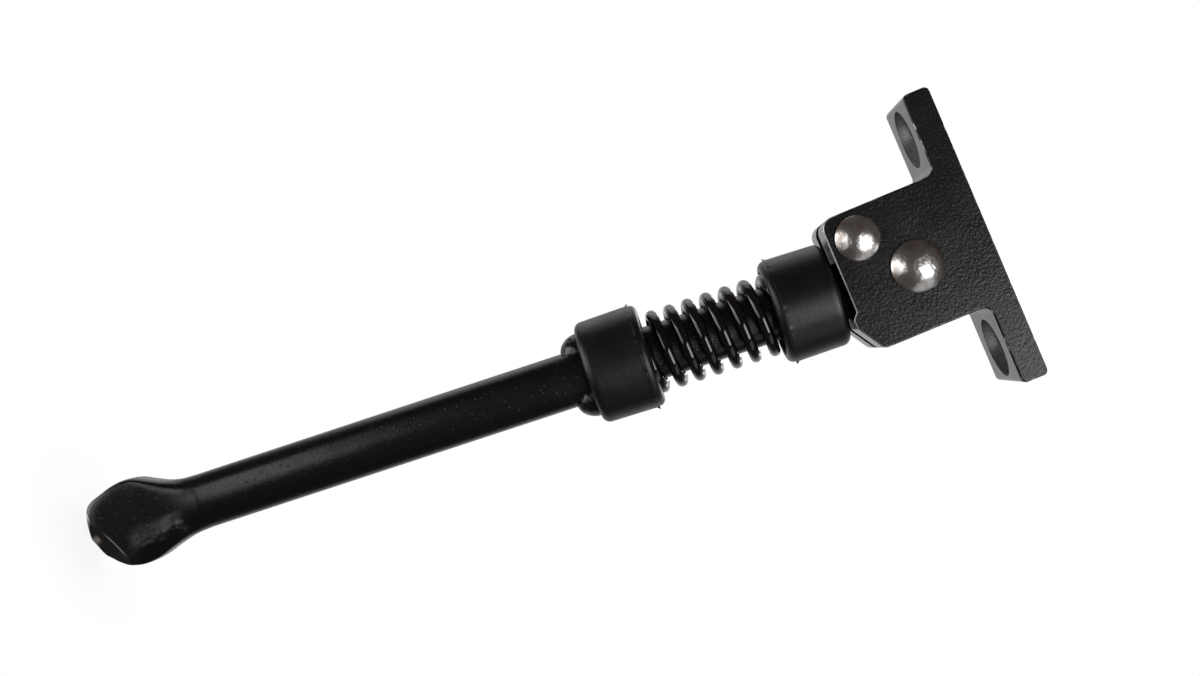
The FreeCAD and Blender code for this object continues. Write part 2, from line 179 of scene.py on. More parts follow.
def skin(name, grid, loop=False):
    """Closed mesh over a grid of points: columns wrap round the piece, rows run along it.

    Rows either close on themselves, or each end row is closed by a fan to its middle.
    The faces are turned outwards by the sign of the enclosed volume.
    """
    rows, columns = grid.shape[:2]
    spots = grid.reshape(-1, 3)
    number = np.arange(rows * columns).reshape(rows, columns)
    if loop:
        number = np.vstack([number, number[:1]])
    near, far = number[:-1], number[1:]
    quads = np.stack([near, np.roll(near, -1, 1), np.roll(far, -1, 1), far], -1).reshape(-1, 4)
    fans = np.empty((0, 3), int)
    if not loop:
        poles = np.array([grid[0].mean(0), grid[-1].mean(0)])
        first, last = np.full(columns, rows * columns), np.full(columns, rows * columns + 1)
        fans = np.vstack([
            np.stack([first, np.roll(number[0], -1), number[0]], -1),
            np.stack([last, number[-1], np.roll(number[-1], -1)], -1),
        ])
        spots = np.vstack([spots, poles])
    corners = np.vstack([quads[:, [0, 1, 2]], quads[:, [0, 2, 3]], fans])
    centred = spots - spots.mean(0)
    a, b, c = centred[corners[:, 0]], centred[corners[:, 1]], centred[corners[:, 2]]
    if np.einsum("ij,ij->", a, np.cross(b, c)) < 0:
        quads, fans = quads[:, ::-1], fans[:, ::-1]
    mesh = bpy.data.meshes.new(name)
    mesh.from_pydata(spots.tolist(), [], quads.tolist() + fans.tolist())
    mesh.polygons.foreach_set("use_smooth", np.ones(len(mesh.polygons), bool))
    mesh.update()
    piece = bpy.data.objects.new(name, mesh)
    bpy.context.scene.collection.objects.link(piece)
    return piece


def dress(piece, body, material, node):
    """Gives a piece its finish and its body, and hides the CAD node that it stands for."""
    piece.data.materials.append(material)
    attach(piece, body)
    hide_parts(node)


# Materials

# Sockets of a colour Mix node, by number, because their names repeat.
MIX_FACTOR, MIX_A, MIX_B, MIX_OUT = 0, 6, 7, 2

# A wave texture at scale 1 repeats this often in one unit.
WAVES_PER_UNIT = 10 / math.pi


def srgb(code):
    """Linear colour from an sRGB hex code."""
    parts = np.array([int(code[i:i + 2], 16) for i in (1, 3, 5)]) / 255
    linear = np.where(parts <= 0.04045, parts / 12.92, ((parts + 0.055) / 1.055) ** 2.4)
    return (*linear.tolist(), 1.0)


def per_metre(size_mm):
    """Texture scale that gives features of a size in millimetres."""
    return 1.0 / (size_mm * MM)


def add(tree, kind, inputs=None, **settings):
    """Adds a node with its settings; an input is a value, or a socket to link from."""
    node = tree.nodes.new(kind)
    for key, item in settings.items():
        setattr(node, key, item)
    for key, item in (inputs or {}).items():
        if isinstance(item, bpy.types.NodeSocket):
            tree.links.new(item, node.inputs[key])
        else:
            node.inputs[key].default_value = item
    return node


def new_material(name):
    """Empty node material with Object coordinates."""
    material = bpy.data.materials.new(name)
    material.use_nodes = True
    tree = material.node_tree
    tree.nodes.clear()
    place = add(tree, "ShaderNodeTexCoord").outputs["Object"]
    return material, tree, place


def finish_material(tree, inputs):
    """Principled surface with these inputs, joined to the output."""
    surface = add(tree, "ShaderNodeBsdfPrincipled", inputs)
    add(tree, "ShaderNodeOutputMaterial", {"Surface": surface.outputs["BSDF"]})


# Powder coat, in mm: sizes of its grain and patches, spacing of the cutter's marks, heights of relief.
PEEL_SIZE, PEBBLE_SIZE, GLOSS_PATCH, KNOCK_SIZE = 0.55, 0.9, 9.0, 2.5
MILL_PITCH, TURN_PITCH = 1.3, 0.5
COAT_RELIEF, TURNED_RELIEF = 0.042, 0.015

# Heights of pebbles and milling lines next to the peel's, and what bare alloy adds to the roughness.
PEBBLE_SHARE, MILL_SHARE, BARE_ROUGHNESS = -0.5, 0.08, 0.25

# Where the bracket is bare, in mm: the screw seats, the rounded edges and the ends that the cup rubs.
SCREW_SPACING = 56.0
SEAT_R, SEAT_FLOOR = 7.6, 2.6
SEAT_BLUR_IN, SEAT_BLUR_OUT, SEAT_MARGIN = 0.05, 0.15, 0.1
EAR_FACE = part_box("bracket")[1][1] / MM
EDGE_ROUND = 0.45
RUB_START, RUB_FULL = 31.0, 34.0

# Distances from the outer face where an edge is full, fades and ends, as shares of its round.
EDGE_FULL, EDGE_FADE, EDGE_END = 0.7, 0.1, 0.02


def bare_alloy(tree, place):
    """Masks of the bracket: where the alloy is bare, and where its rounded edges are.

    Bare are the screw seats, by the distance from their axes and the depth below the mounting face,
    the edges of the ears' ends, and specks where the other edges were knocked. An edge is the band
    along Y that its round takes up, just short of the outer face.
    """
    mirrored = add(tree, "ShaderNodeVectorMath", {0: place}, operation="ABSOLUTE")
    flat = add(tree, "ShaderNodeVectorMath", {
        0: mirrored.outputs["Vector"], 1: (1.0, 1.0, 0.0)}, operation="MULTIPLY")
    away = add(tree, "ShaderNodeVectorMath", {
        0: flat.outputs["Vector"], 1: (SCREW_SPACING / 2 * MM, 0.0, 0.0)}, operation="DISTANCE")
    bored = add(tree, "ShaderNodeMapRange", {
        "Value": away.outputs["Value"], "From Min": (SEAT_R - SEAT_BLUR_IN) * MM,
        "From Max": (SEAT_R + SEAT_BLUR_OUT) * MM, "To Min": 1.0, "To Max": 0.0})
    extent = add(tree, "ShaderNodeSeparateXYZ", {"Vector": mirrored.outputs["Vector"]})
    below = add(tree, "ShaderNodeMath", {
        0: extent.outputs["Z"], 1: (SEAT_FLOOR - SEAT_MARGIN) * MM}, operation="GREATER_THAN")
    seat = add(tree, "ShaderNodeMath", {
        0: bored.outputs["Result"], 1: below.outputs[0]}, operation="MULTIPLY")

    inside = add(tree, "ShaderNodeMapRange", {
        "Value": extent.outputs["Y"], "From Min": (EAR_FACE - EDGE_ROUND) * MM,
        "From Max": (EAR_FACE - EDGE_FULL * EDGE_ROUND) * MM})
    outside = add(tree, "ShaderNodeMapRange", {
        "Value": extent.outputs["Y"], "From Min": (EAR_FACE - EDGE_FADE * EDGE_ROUND) * MM,
        "From Max": (EAR_FACE - EDGE_END * EDGE_ROUND) * MM, "To Min": 1.0, "To Max": 0.0})
    edge = add(tree, "ShaderNodeMath", {
        0: inside.outputs["Result"], 1: outside.outputs["Result"]}, operation="MULTIPLY")
    ends = add(tree, "ShaderNodeMapRange", {
        "Value": extent.outputs["Z"], "From Min": RUB_START * MM, "From Max": RUB_FULL * MM})
    knocks = add(tree, "ShaderNodeTexNoise", {
        "Vector": place, "Scale": per_metre(KNOCK_SIZE), "Detail": 4.0})
    knocked = add(tree, "ShaderNodeMapRange", {
        "Value": knocks.outputs["Fac"], "From Min": 0.52, "From Max": 0.64,
        "To Min": 0.0, "To Max": 0.9})
    worn = add(tree, "ShaderNodeMath", {
        0: ends.outputs["Result"], 1: knocked.outputs["Result"]}, operation="MAXIMUM")
    rubbed = add(tree, "ShaderNodeMath", {0: edge.outputs[0], 1: worn.outputs[0]}, operation="MULTIPLY")
    bare = add(tree, "ShaderNodeMath", {0: seat.outputs[0], 1: rubbed.outputs[0]}, operation="MAXIMUM")
    return bare.outputs[0], edge.outputs[0]


def powder_coat():
    """Black polyester powder coat on machined alloy, baked: satin, with a leathery grain of pebbles
    just under 1 mm across, and the milling lines below it just showing. Where the alloy is bare it is
    bright, with the turning marks of the screw seats."""
    material, tree, place = new_material("black_powder_coat_baked")
    bare, edge = bare_alloy(tree, place)
    peel = add(tree, "ShaderNodeTexNoise", {
        "Vector": place, "Scale": per_metre(PEEL_SIZE), "Detail": 3.0, "Roughness": 0.6})
    pebbles = add(tree, "ShaderNodeTexVoronoi", {
        "Vector": place, "Scale": per_metre(PEBBLE_SIZE), "Smoothness": 0.6}, feature="SMOOTH_F1")
    leather = add(tree, "ShaderNodeMath", {
        0: pebbles.outputs["Distance"], 1: PEBBLE_SHARE, 2: peel.outputs["Fac"]},
        operation="MULTIPLY_ADD")
    lines = add(tree, "ShaderNodeTexWave", {
        "Vector": place, "Scale": per_metre(MILL_PITCH * WAVES_PER_UNIT), "Distortion": 1.5,
        "Detail": 2.0}, bands_direction="Z")
    milled = add(tree, "ShaderNodeMath", {
        0: lines.outputs["Fac"], 1: MILL_SHARE, 2: leather.outputs[0]}, operation="MULTIPLY_ADD")

    rings = add(tree, "ShaderNodeTexWave", {
        "Vector": place, "Scale": per_metre(TURN_PITCH * WAVES_PER_UNIT)}, bands_direction="Z")
    turned = add(tree, "ShaderNodeBump", {
        "Height": rings.outputs["Fac"], "Strength": bare, "Distance": TURNED_RELIEF * MM})
    coated = add(tree, "ShaderNodeMath", {0: 1.0, 1: bare}, operation="SUBTRACT")
    level = add(tree, "ShaderNodeMath", {0: 1.0, 1: edge}, operation="SUBTRACT")
    grain = add(tree, "ShaderNodeMath", {
        0: coated.outputs[0], 1: level.outputs[0]}, operation="MULTIPLY")
    bump = add(tree, "ShaderNodeBump", {
        "Height": milled.outputs[0], "Strength": grain.outputs[0], "Distance": COAT_RELIEF * MM,
        "Normal": turned.outputs["Normal"]})

    patch = add(tree, "ShaderNodeTexNoise", {
        "Vector": place, "Scale": per_metre(GLOSS_PATCH), "Detail": 2.0})
    gloss = add(tree, "ShaderNodeMapRange", {
        "Value": patch.outputs["Fac"], "From Min": 0.3, "From Max": 0.7, "To Min": 0.17, "To Max": 0.24})
    sheen = add(tree, "ShaderNodeMath", {
        0: bare, 1: BARE_ROUGHNESS, 2: gloss.outputs["Result"]}, operation="MULTIPLY_ADD")
    colour = add(tree, "ShaderNodeMix", {
        MIX_FACTOR: bare, MIX_A: srgb("#161617"), MIX_B: srgb("#c0bfbd")}, data_type="RGBA")
    finish_material(tree, {
        "Base Color": colour.outputs[MIX_OUT], "Metallic": bare, "Roughness": sheen.outputs[0],
        "Normal": bump.outputs["Normal"]})
    return material


# Rivet steel: sizes of its stains and scratches and the scratches' depth, in mm.
STAIN_SIZE, SCRATCH_SIZE, SCRATCH_RELIEF = 2.2, 0.5, 0.02


def upset_steel():
    """Bright carbon steel, headed cold and tumbled: a soft mirror with fine scratches and faint
    brownish stains, which are a little duller."""
    material, tree, place = new_material("carbon_steel_cold_headed")
    stain = add(tree, "ShaderNodeTexNoise", {
        "Vector": place, "Scale": per_metre(STAIN_SIZE), "Detail": 5.0, "Roughness": 0.65})
    clean = add(tree, "ShaderNodeMapRange", {
        "Value": stain.outputs["Fac"], "From Min": 0.36, "From Max": 0.54})
    colour = add(tree, "ShaderNodeMix", {
        MIX_FACTOR: clean.outputs["Result"], MIX_A: srgb("#aca199"), MIX_B: srgb("#d4d4d4")},
        data_type="RGBA")
    gloss = add(tree, "ShaderNodeMapRange", {
        "Value": clean.outputs["Result"], "To Min": 0.34, "To Max": 0.26})
    scratches = add(tree, "ShaderNodeTexNoise", {
        "Vector": place, "Scale": per_metre(SCRATCH_SIZE), "Detail": 4.0, "Roughness": 0.7})
    bump = add(tree, "ShaderNodeBump", {
        "Height": scratches.outputs["Fac"], "Strength": 0.5, "Distance": SCRATCH_RELIEF * MM})
    finish_material(tree, {
        "Base Color": colour.outputs[MIX_OUT], "Metallic": 1.0, "Roughness": gloss.outputs["Result"],
        "Normal": bump.outputs["Normal"]})
    return material


# Leg enamel: size of its pits, spacing of the dust in it and the height of both, in mm.
PIT_SIZE, DUST_SPACING, ENAMEL_RELIEF = 0.8, 1.6, 0.045

# Height of the dust next to the pits', and what bare steel adds to the roughness.
DUST_SHARE, CHIP_ROUGHNESS = 1.2, 0.25


def leg_paint():
    """Black stoving enamel sprayed on forged steel: semi-gloss, with fine pits and dust in it, and
    steel showing where the attribute bare says that the paint has chipped."""
    material, tree, place = new_material("black_enamel_sprayed")
    pits = add(tree, "ShaderNodeTexNoise", {
        "Vector": place, "Scale": per_metre(PIT_SIZE), "Detail": 5.0, "Roughness": 0.7})
    dust = add(tree, "ShaderNodeTexVoronoi", {"Vector": place, "Scale": per_metre(DUST_SPACING)})
    grit = add(tree, "ShaderNodeMapRange", {
        "Value": dust.outputs["Distance"], "From Min": 0.10, "From Max": 0.22,
        "To Min": 1.0, "To Max": 0.0})
    height = add(tree, "ShaderNodeMath", {
        0: grit.outputs["Result"], 1: DUST_SHARE, 2: pits.outputs["Fac"]}, operation="MULTIPLY_ADD")
    bump = add(tree, "ShaderNodeBump", {
        "Height": height.outputs[0], "Strength": 0.7, "Distance": ENAMEL_RELIEF * MM})
    bare = add(tree, "ShaderNodeAttribute", attribute_name="bare")
    colour = add(tree, "ShaderNodeMix", {
        MIX_FACTOR: bare.outputs["Fac"], MIX_A: srgb("#080809"), MIX_B: srgb("#cac6c0")},
        data_type="RGBA")
    gloss = add(tree, "ShaderNodeMapRange", {
        "Value": pits.outputs["Fac"], "From Min": 0.3, "From Max": 0.7, "To Min": 0.24, "To Max": 0.31})
    scuffed = add(tree, "ShaderNodeMath", {
        0: bare.outputs["Fac"], 1: CHIP_ROUGHNESS, 2: gloss.outputs["Result"]},
        operation="MULTIPLY_ADD")
    finish_material(tree, {
        "Base Color": colour.outputs[MIX_OUT], "Metallic": bare.outputs["Fac"],
        "Roughness": scuffed.outputs[0], "Normal": bump.outputs["Normal"]})
    return material


# Cup nylon: width of the mould's rings, their height and the size of scuffs, in mm.
RING_WIDTH, RING_RELIEF, SCUFF_SIZE = 0.7, 0.08, 5.0

# Scale of the rings' noise across the leg: well below 1 it draws the noise out into rings.
RING_STRETCH = 0.12


def cup_nylon():
    """Black nylon, injection moulded: satin, with faint rings from the turned mould and dull scuffs."""
    material, tree, place = new_material("black_nylon_moulded")
    tilt = math.atan2(DOWN[0], DOWN[2])
    upright = add(tree, "ShaderNodeMapping", {"Vector": place, "Rotation": (0.0, -tilt, 0.0)})
    stretched = add(tree, "ShaderNodeVectorMath", {
        0: upright.outputs["Vector"], 1: (RING_STRETCH, RING_STRETCH, 1.0)}, operation="MULTIPLY")
    rings = add(tree, "ShaderNodeTexNoise", {
        "Vector": stretched.outputs["Vector"], "Scale": per_metre(RING_WIDTH), "Detail": 4.0,
        "Roughness": 0.6})
    scuffs = add(tree, "ShaderNodeTexNoise", {
        "Vector": place, "Scale": per_metre(SCUFF_SIZE), "Detail": 5.0, "Roughness": 0.6})
    bump = add(tree, "ShaderNodeBump", {
        "Height": rings.outputs["Fac"], "Strength": 0.5, "Distance": RING_RELIEF * MM})
    gloss = add(tree, "ShaderNodeMapRange", {
        "Value": scuffs.outputs["Fac"], "From Min": 0.3, "From Max": 0.7,
        "To Min": 0.33, "To Max": 0.45})
    finish_material(tree, {
        "Base Color": srgb("#0a0a0b"), "Roughness": gloss.outputs["Result"],
        "Normal": bump.outputs["Normal"]})
    return material


# Spring paint: size and height of its runs, in mm.
RUN_SIZE, RUN_RELIEF = 1.2, 0.015


def spring_paint():
    """Black dip paint on drawn spring wire: glossy, with a few soft runs."""
    material, tree, place = new_material("black_paint_dipped")
    runs = add(tree, "ShaderNodeTexNoise", {
        "Vector": place, "Scale": per_metre(RUN_SIZE), "Detail": 3.0})
    bump = add(tree, "ShaderNodeBump", {
        "Height": runs.outputs["Fac"], "Strength": 0.2, "Distance": RUN_RELIEF * MM})
    finish_material(tree, {
        "Base Color": srgb("#060606"), "Roughness": 0.09, "Specular IOR Level": 0.8,
        "Normal": bump.outputs["Normal"]})
    return material


COAT = powder_coat()
STEEL = upset_steel()
ENAMEL = leg_paint()
NYLON = cup_nylon()
WIRE_PAINT = spring_paint()


# Bracket

def finish_bracket():
    """The CAD bracket keeps its mesh and takes the powder coat."""
    bracket = frame["nodes"]["bracket"]
    bracket.data.materials.clear()
    bracket.data.materials.append(COAT)


# Rivets, in mm: straight rim of the head, and depth and width of its broad and fine dents.
HEAD_RIM = 0.7
BROAD_DENT, BROAD_WIDTH = 0.035, 4.0
FINE_DENT, FINE_WIDTH = 0.008, 1.1
DENT_BASE, DENT_LEAST, DENT_MOST = 0.05, -0.05, 0.09

# Share of the head's radius that is dented in full, and the grid, whose rows crowd towards the rim.
CROWN_EDGE = 0.8
DOME_ROWS, RIM_ROWS, HEAD_COLUMNS, ROW_CROWDING = 48, 6, 160, 0.8


def make_rivet(node, seed):
    """Rivet turned about its own axis along Y: a domed head with a straight rim and shallow dents on
    each side, and a straight run at the heads' width between them.

    The outline is carried round the axis; dents lower the dome along it by a smooth uneven height.
    """
    low, high = (np.array(corner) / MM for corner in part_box(node))
    centre = (low + high) / 2
    head_r = (high[0] - low[0]) / 2
    top = high[1]
    cap = top - EAR_FACE - HEAD_RIM
    dome_r = (head_r ** 2 + cap ** 2) / (2 * cap)
    lean = np.linspace(0.0, 1.0, DOME_ROWS) ** ROW_CROWDING * math.asin(head_r / dome_r)
    dome = np.stack([dome_r * np.sin(lean), top - dome_r * (1 - np.cos(lean))], -1)[1:]
    rim_heights = np.linspace(EAR_FACE + HEAD_RIM, EAR_FACE, RIM_ROWS + 1)[1:]
    rim = np.stack([np.full(RIM_ROWS, head_r), rim_heights], -1)
    half = np.vstack([dome, rim])
    outline = np.vstack([half, half[::-1] * [1, -1]])
    turn = full_turn(HEAD_COLUMNS)
    radius, height = outline[:, :1], outline[:, 1:]
    x, z = radius * np.cos(turn), radius * np.sin(turn)
    y = np.broadcast_to(height, x.shape)
    crown = 1 - smooth(CROWN_EDGE, 1.0, np.hypot(x, z) / head_r)
    broad = BROAD_DENT * ripple(x, y, z, BROAD_WIDTH, seed)
    fine = FINE_DENT * ripple(x, y, z, FINE_WIDTH, seed + 1)
    y = y - np.sign(y) * crown * (DENT_BASE + np.clip(broad + fine, DENT_LEAST, DENT_MOST))
    grid = MM * np.stack([centre[0] + x, y, centre[2] + z], -1)
    dress(skin(node + "_dressed", grid), "bracket", STEEL, node)


# Leg

# Tongue, in mm; it runs into the rod by the overlap, with its sides just inside the rod's skin.
ROD_R = 7.0
TONGUE_THICK, TONGUE_LENGTH = 5.0, 21.9
TONGUE_OVERLAP, TONGUE_INSET = 1.0, 0.05
PIVOT_HOLE_R = 4.05
ROUND_END_POINTS = 49


def make_tongue():
    """Flat tongue at the top of the rod: a rounded-end outline with a bore, carried through its
    thickness."""
    turn = np.linspace(0, math.pi, ROUND_END_POINTS)
    round_end = ROD_R * np.stack([-np.sin(turn), np.cos(turn)], -1)
    far, half_width = TONGUE_LENGTH + TONGUE_OVERLAP, ROD_R - TONGUE_INSET
    outline = np.vstack([round_end, [[far, -half_width], [far, half_width]]])
    hole = full_turn(len(outline))
    bore = PIVOT_HOLE_R * np.stack([-np.sin(hole), np.cos(hole)], -1)
    face = TONGUE_THICK / 2
    rings = [(outline, -face), (outline, face), (bore, face), (bore, -face)]
    grid = np.stack([on_leg(*ring.T, level) for ring, level in rings])
    piece = skin("leg_tongue", grid, loop=True)
    piece.data.polygons.foreach_set("use_smooth", np.zeros(len(piece.data.polygons), bool))
    dress(piece, "leg", ENAMEL, "leg")


# Foot: stations of (distance from the tip, half-width) for its two edges, its thickness and the press.
FOOT_LENGTH = 31.0
FOOT_BACK = [(31.0, 7.0), (27.0, 7.2), (23.4, 8.0), (20.0, 9.4), (16.4, 11.0), (13.1, 11.4),
             (10.3, 11.0), (6.5, 9.8), (3.4, 8.7), (2.0, 7.7), (0.8, 5.2), (0.0, 0.0)]
FOOT_FRONT = [(31.0, 7.0), (27.0, 7.3), (20.7, 8.8), (16.6, 10.1), (12.6, 10.6), (9.1, 10.0),
              (5.8, 8.4), (3.4, 6.5), (1.8, 5.0), (0.8, 2.4), (0.0, 0.0)]
FOOT_THICK = [(31.0, 7.0), (27.0, 7.1), (22.0, 7.4), (16.0, 7.6), (11.0, 7.4), (6.0, 6.4),
              (2.5, 4.3), (0.8, 2.2), (0.0, 0.0)]
FOOT_PRESS = [(31.0, 7.7), (29.5, 7.0), (27.5, 6.3), (25.5, 5.7), (22.0, 4.9), (18.0, 4.4),
              (12.0, 4.2), (0.0, 4.0)]

# Section of the bar: its power, the press's soft edges and tilt, and where they change, from the tip.
ROD_POWER, FOOT_POWER, POWER_START, POWER_END = 2.0, 4.0, 18.0, 29.0
PRESS_BLEND, RAMP_BLEND, RAMP_START, RAMP_END = 0.75, 1.5, 15.0, 25.0
PRESS_TILT = 0.09

# How soon the near face is hammered in full round the section, and from where on, from the tip.
NEAR_SHARPNESS, TIP_PLAIN, TIP_HAMMERED = 2.2, 1.5, 4.0

# Waves of the whole bar, their height and length, and the grid, whose rows crowd towards the tip.
BAR_WAVINESS, BAR_WAVE = 0.02, 9.0
ROD_STEP, FOOT_ROWS, TIP_CROWDING, BAR_COLUMNS = 2.0, 230, 1.5, 300

# Forging marks on the foot, as distances from the tip and across the leg, in mm.
HUMP_START, HUMP_END, HUMP_START_FADE, HUMP_END_FADE = 28.0, 9.0, 5.0, 6.0
HUMP_LOW, HUMP_TOP, HUMP_EDGE = 0.0, 6.2, 10.0
HUMP_RISE, WRINKLE_RISE = 0.9, 0.025
NOTCH_LEFT, NOTCH_LONG, NOTCH_WIDE = 22.7, 2.6, 2.0

# Streaks on the ridge: width in mm, pace down the leg next to that across it, and the finer one's share.
BROAD_STREAK, BROAD_STRETCH = 1.2, 0.3
FINE_STREAK, FINE_STRETCH, FINE_SHARE = 0.6, 0.5, 0.6

# The shear that took the foot's near corner off: its facing, the run of its edge and a point on it.
SHEAR_FACING = (0.53, 0.32, -0.785)
SHEAR_ALONG = (-0.52, 0.85, 0.0)
SHEAR_LEFT, SHEAR_ACROSS, SHEAR_DEPTH = 6.8, 3.6, 3.75

# How hollow the shear is, in mm of rise for the square of the mm along its edge.
SHEAR_HOLLOW = 0.004

# Paint that is off the foot: a flaked chip and a speck at the tip, and a line along the shear.
CHIP_START, CHIP_FULL, CHIP_ACROSS, CHIP_WIDE = 2.6, 1.8, -5.4, 1.4
FLAKE_SIZE, FLAKE_LOW, FLAKE_HIGH = 1.3, -0.9, -0.1
SPECK_START, SPECK_FULL, SPECK_ACROSS, SPECK_WIDE, SPECK_SHARE = 2.4, 1.4, 1.3, 0.8, 0.6
LINE_WIDE, LINE_LONG, LINE_SHARE = 0.10, 3.5, 0.7


def foot_edge(stations, left):
    """Half-width at a distance from the tip: a curve through the stations, drawn over the square root
    of that distance so that the tip is round."""
    knots, heights = np.array(stations[::-1]).T
    return spline(np.sqrt(knots), heights, np.sqrt(np.clip(left, 0, FOOT_LENGTH)))


def press_flat(depth, level, blend):
    """Depth limited softly to the level of the press on either side: the soft least of the two."""
    least = -blend * np.log(np.exp(-np.abs(depth) / blend) + np.exp(-level / blend))
    return np.sign(depth) * np.clip(least, 0, None)


def hammer_foot(left, across, depth, near):
    """Height in mm that forging left on the foot's near face, towards the viewer.

    A long ridge with a broad flank, streaks along that flank, and a notch where the crest steps back.
    """
    crest = HUMP_TOP - NOTCH_WIDE * bell(left - NOTCH_LEFT, NOTCH_LONG)
    ridge = smooth(HUMP_LOW, crest, across) * smooth(HUMP_EDGE, crest, across)
    ridge = ridge * smooth(HUMP_END, HUMP_END + HUMP_END_FADE, left)
    ridge = ridge * smooth(HUMP_START, HUMP_START - HUMP_START_FADE, left)
    broad = ripple(left * BROAD_STRETCH, across, depth, BROAD_STREAK, seed=41)
    fine = ripple(left * FINE_STRETCH, across, depth, FINE_STREAK, seed=43)
    return near * ridge * (HUMP_RISE + WRINKLE_RISE * (broad + FINE_SHARE * fine))


def bar_section(foot_tip):
    """Reach, across and depth of the bar before the shear, and how much a point is on its near face.

    The section is a superellipse with its own half-width to each side; its power grows from 2 on the
    rod to 4 on the foot, and a press limits its depth. The near face of the foot is hammered.
    """
    rod = np.arange(TONGUE_LENGTH, foot_tip - FOOT_LENGTH, ROD_STEP)
    foot = foot_tip - FOOT_LENGTH * np.linspace(1.0, 0.0, FOOT_ROWS) ** TIP_CROWDING
    reach = np.concatenate([rod, foot])[:, None]
    left = foot_tip - reach
    turn = full_turn(BAR_COLUMNS)
    cosine, sine = np.cos(turn), np.sin(turn)
    power = FOOT_POWER - (FOOT_POWER - ROD_POWER) * smooth(POWER_START, POWER_END, left)
    unit = (np.abs(cosine) ** power + np.abs(sine) ** power) ** (-1 / power)
    half_width = np.where(cosine < 0, foot_edge(FOOT_BACK, left), foot_edge(FOOT_FRONT, left))
    across = unit * cosine * half_width
    level = foot_edge(FOOT_PRESS, left) + PRESS_TILT * np.sign(sine) * across
    blend = PRESS_BLEND + (RAMP_BLEND - PRESS_BLEND) * smooth(RAMP_START, RAMP_END, left)
    depth = press_flat(unit * sine * foot_edge(FOOT_THICK, left), level, blend)
    near = np.clip(-NEAR_SHARPNESS * sine, 0, 1) * smooth(TIP_PLAIN, TIP_HAMMERED, left)
    reach = np.broadcast_to(reach, across.shape)
    depth = depth - hammer_foot(left, across, depth, near)
    depth = depth + BAR_WAVINESS * ripple(reach, across, depth, BAR_WAVE, seed=5)
    return reach, across, depth, near


def from_shear(reach, across, depth, foot_tip):
    """Distance of points beyond the shear at the foot's near corner, square to it and along its edge.

    The shear is slightly hollow: it rises from its plane with the square of the distance along its
    edge, so that it runs out towards both ends.
    """
    spots = (reach - foot_tip + SHEAR_LEFT, across - SHEAR_ACROSS, depth + SHEAR_DEPTH)
    beyond = sum(way * spot for way, spot in zip(SHEAR_FACING, spots))
    along = sum(way * spot for way, spot in zip(SHEAR_ALONG, spots))
    return beyond - SHEAR_HOLLOW * along ** 2, along


def chipped(spots, left, near, beyond, along):
    """Share of bare steel: a flaked chip and a speck at the tip, and a line along the shear's edge."""
    across = spots[1]
    flaking = smooth(FLAKE_LOW, FLAKE_HIGH, ripple(*spots, FLAKE_SIZE, seed=47))
    chip = smooth(CHIP_START, CHIP_FULL, left) * bell(across - CHIP_ACROSS, CHIP_WIDE, power=4) * flaking
    speck = smooth(SPECK_START, SPECK_FULL, left) * bell(across - SPECK_ACROSS, SPECK_WIDE)
    line = bell(beyond, LINE_WIDE) * near * bell(along, LINE_LONG, power=4)
    return np.maximum(np.maximum(chip, SPECK_SHARE * speck), LINE_SHARE * line)


def make_bar(foot_tip):
    """Rod that flattens into the foot: a closed section carried down the leg.

    Points beyond the shear at its tip are moved square onto the shear.
    """
    *spots, near = bar_section(foot_tip)
    beyond, along = from_shear(*spots, foot_tip)
    bare = chipped(spots, foot_tip - spots[0], near, beyond, along)
    moved = np.clip(beyond, 0, None)
    piece = skin("leg_bar", on_leg(*(spot - moved * way for spot, way in zip(spots, SHEAR_FACING))))
    worn = piece.data.attributes.new("bare", "FLOAT", "POINT")
    worn.data.foreach_set("value", np.append(bare.ravel(), [0.0, bare[-1].mean()]))
    dress(piece, "leg", ENAMEL, "leg")


# Lugs, in mm: half-sizes along, across and through the leg, and the highest point.
LUG_RUN, LUG_ACROSS, LUG_DEPTH, LUG_TOP = 5.2, 4.5, 6.4, 10.8
LUG_ROWS, LUG_COLUMNS = 48, 96

# Their uneven skin: its height as a share of the size, its width in mm and where it fades to both ends.
LUG_ROUGH, LUG_ROUGH_WIDTH, LUG_ROUGH_FULL, LUG_SEED = 0.006, 1.6, 0.5, 21


def make_lug(name, side, top):
    """Staked lug: half of an egg that stands out of the rod, flat towards the cup, its skin uneven."""
    lean = np.linspace(0.0, math.pi / 2, LUG_ROWS)[:, None]
    turn = full_turn(LUG_COLUMNS)
    reach = LUG_RUN * np.cos(lean) + 0 * turn
    across = LUG_ACROSS * np.sin(lean) * np.cos(turn)
    depth = LUG_DEPTH * np.sin(lean) * np.sin(turn)
    uneven = ripple(reach, across, depth, LUG_ROUGH_WIDTH, LUG_SEED + side)
    rough = 1 + LUG_ROUGH * uneven * smooth(0.0, LUG_ROUGH_FULL, np.sin(2 * lean))
    middle = LUG_TOP - LUG_ACROSS
    grid = on_leg(top + reach * rough, side * (middle + across * rough), depth * rough)
    dress(skin(name, grid), "leg", ENAMEL, "leg")


# Cups, in mm: floor, bore and recess, and the rounds of their corners.
CUP_FLOOR, CUP_ROUND, CUP_DRAFT = 7.0, 2.0, 0.25
CUP_BORE_R, CUP_RECESS_R = 7.2, 10.8
CORNER_ROUND, RECESS_MOUTH_ROUND = 0.3, 0.25
LIP_LENGTH, LIP_ROUND = 1.9, 1.75
CUP_STEP, CUP_COLUMNS = 0.8, 320

